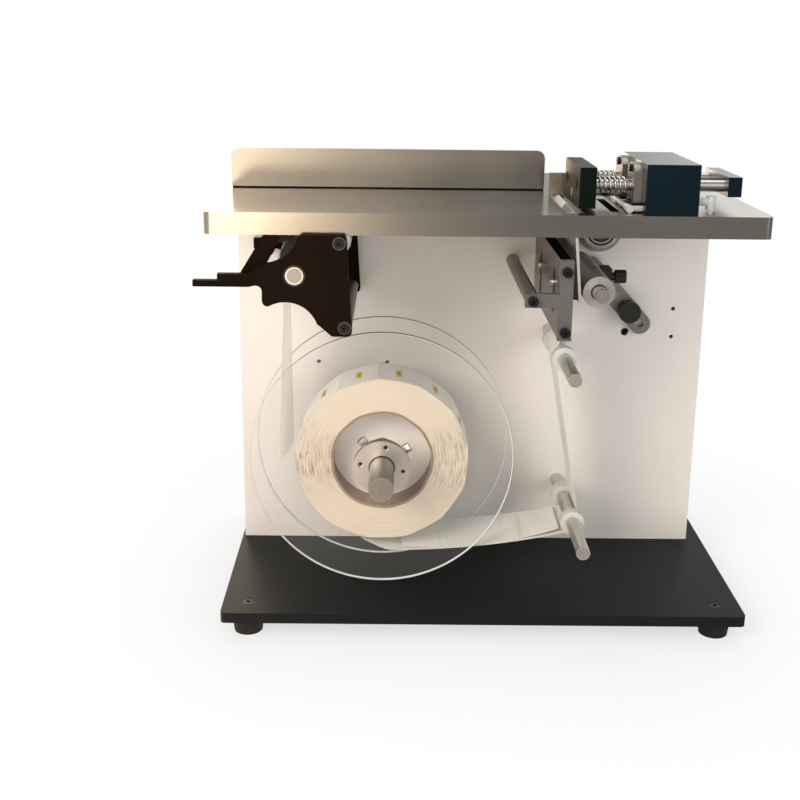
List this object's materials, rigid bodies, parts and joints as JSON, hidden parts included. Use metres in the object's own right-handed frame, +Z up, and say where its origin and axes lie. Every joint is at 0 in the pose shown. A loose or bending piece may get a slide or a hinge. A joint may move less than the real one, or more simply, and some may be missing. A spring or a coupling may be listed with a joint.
{
  "type": "corner labeling machine",
  "caption": "Bench machine that feeds labels from a reel to a peel edge in its table, with a fence and a sprung push block that set the label round a carton corner.",
  "frame": {"origin": "middle of the overall box in plan, at the floor under the feet", "axes": "+X to the operator's right, +Y away from the operator, +Z up"},
  "size_m": [0.3964, 0.253, 0.3504],
  "materials": {
    "base_black": "satin",
    "rubber_black": "matte",
    "screw_steel": "satin",
    "screw_black": "black oxide",
    "panel_white": "powder coat",
    "stainless": "brushed",
    "body_dark": "dark anodised",
    "block_black": "matte",
    "rod_chrome": "polished",
    "spring_steel": "bright",
    "fitting_grey": "translucent",
    "hose_clear": "translucent",
    "valve_grey": "anodised",
    "bracket_grey": "satin",
    "plate_alu": "satin",
    "carrier_black": "black anodised",
    "roller_alu": "turned",
    "nylon_white": "matte",
    "clear_disc": "clear acrylic",
    "core_card": "matte",
    "roll_paper": "matte",
    "web_paper": "matte",
    "hub_alu": "turned",
    "plate_brown": "brown-black anodised",
    "roller_rubber": "matte",
    "motor_black": "satin",
    "inlet_black": "matte",
    "knob_black": "satin"
  },
  "bodies": {
    "frame": {"base_plate": "base_black", "feet": "rubber_black", "foot_screws": "screw_black", "front_panel": "panel_white", "panel_rails": "panel_white", "rear_housing": "panel_white", "table_top": "stainless", "side_guide": "stainless", "pusher_body": "body_dark", "flange_bushings": "rod_chrome", "bushing_screws": "screw_black", "spring_front": "spring_steel", "spring_rear": "spring_steel", "air_fittings": "fitting_grey", "air_hoses": "hose_clear", "air_valve": "valve_grey", "t_bracket": "bracket_grey", "standoffs": "plate_alu", "cap_screws": "screw_black", "slotted_plate": "plate_alu", "roller_shaft": "rod_chrome", "bearing_housings": "plate_alu", "web_rods": "rod_chrome", "rear_collars": "nylon_white", "drive_front_plate": "plate_brown", "drive_rear_plate": "plate_brown", "drive_motor": "motor_black", "label_web": "web_paper", "liner": "web_paper", "power_inlet": "inlet_black"},
    "fence": {"fence": "stainless"},
    "pusher": {"push_block": "block_black", "pusher_screws": "screw_steel", "guide_rods": "rod_chrome", "plunger_rod": "rod_chrome", "rod_end_plate": "body_dark"},
    "peel": {"peel_carrier": "carrier_black", "peel_plate": "stainless", "carrier_screws": "screw_steel"},
    "return_roller": {"return_roller": "roller_alu"},
    "drive": {"drive_shaft": "rod_chrome", "drive_roller": "roller_rubber"},
    "lever": {"nip_lever": "plate_brown"},
    "nip_roller": {"nip_roller": "roller_rubber"},
    "reel": {"spindle": "rod_chrome", "rear_disc": "clear_disc", "core_plug": "nylon_white", "paper_core": "core_card", "label_roll": "roll_paper"},
    "lock": {"front_disc": "clear_disc", "lock_hub": "hub_alu"},
    "hub_screw_l": {"hub_screw_l": "screw_steel"},
    "hub_screw_r": {"hub_screw_r": "screw_steel"},
    "sensor": {"sensor_arm": "bracket_grey", "sensor_block": "knob_black"},
    "thumb_screw": {"thumb_screw": "knob_black"},
    "arm_knob": {"arm_knob": "knob_black"},
    "collar_upper": {"collar_upper": "nylon_white"},
    "collar_lower": {"collar_lower": "nylon_white"}
  },
  "joints": [
    {"name": "fence_slide", "type": "slide", "parent": "frame", "child": "fence", "axis": [0, 1, 0], "range_m": [-0.008, 0.008]},
    {"name": "pusher_slide", "type": "slide", "parent": "frame", "child": "pusher", "axis": [1, 0, 0], "range_m": [0, 0.014], "stiffness_N_per_m": 700, "springref_m": -0.006, "deforming": ["spring_front", "spring_rear"]},
    {"name": "peel_slide", "type": "slide", "parent": "frame", "child": "peel", "axis": [0, 0, 1], "range_m": [-0.003, 0]},
    {"name": "return_spin", "type": "hinge", "parent": "frame", "child": "return_roller", "pos_m": [0.07845, -0.06, 0.2628], "axis": [0, 1, 0], "continuous": true},
    {"name": "drive_spin", "type": "hinge", "parent": "frame", "child": "drive", "pos_m": [-0.12865, -0.06, 0.2753], "axis": [0, 1, 0], "continuous": true},
    {"name": "lever_pivot", "type": "hinge", "parent": "frame", "child": "lever", "pos_m": [-0.16025, -0.06, 0.27225], "axis": [0, -1, 0], "range_deg": [0, 14], "stiffness_Nm_per_rad": 2, "springref_deg": -17.19},
    {"name": "nip_spin", "type": "hinge", "parent": "lever", "child": "nip_roller", "pos_m": [-0.14529, -0.06, 0.29844], "axis": [0, 1, 0], "continuous": true},
    {"name": "reel_spin", "type": "hinge", "parent": "frame", "child": "reel", "pos_m": [-0.06965, -0.06, 0.1232], "axis": [0, 1, 0], "continuous": true},
    {"name": "lock_slide", "type": "slide", "parent": "reel", "child": "lock", "axis": [0, -1, 0], "range_m": [0, 0.035]},
    {"name": "hub_screw_l_turn", "type": "hinge", "parent": "lock", "child": "hub_screw_l", "pos_m": [-0.06965, -0.069, 0.1232], "axis": [-0.6691, 0, 0.7431], "range_deg": [0, 360]},
    {"name": "hub_screw_r_turn", "type": "hinge", "parent": "lock", "child": "hub_screw_r", "pos_m": [-0.06965, -0.069, 0.1232], "axis": [0.8572, 0, 0.515], "range_deg": [0, 360]},
    {"name": "sensor_slide", "type": "slide", "parent": "frame", "child": "sensor", "axis": [-0.6691, 0, 0.7431], "range_m": [-0.014, 0]},
    {"name": "thumb_screw_turn", "type": "hinge", "parent": "sensor", "child": "thumb_screw", "pos_m": [0.10393, -0.0415, 0.26033], "axis": [1, 0, 0], "range_deg": [0, 360]},
    {"name": "arm_knob_turn", "type": "hinge", "parent": "frame", "child": "arm_knob", "pos_m": [0.12438, 0.01, 0.22152], "axis": [0, -1, 0], "range_deg": [0, 360]},
    {"name": "collar_upper_slide", "type": "slide", "parent": "frame", "child": "collar_upper", "axis": [0, -1, 0], "range_m": [0, 0.03]},
    {"name": "collar_lower_slide", "type": "slide", "parent": "frame", "child": "collar_lower", "axis": [0, -1, 0], "range_m": [0, 0.03]}
  ],
  "couplings": [
    {"joint": "reel_spin", "follows": "drive_spin", "ratio": 0.23846},
    {"joint": "nip_spin", "follows": "drive_spin", "ratio": -1.2917},
    {"joint": "return_spin", "follows": "drive_spin", "ratio": -1.4091}
  ]
}
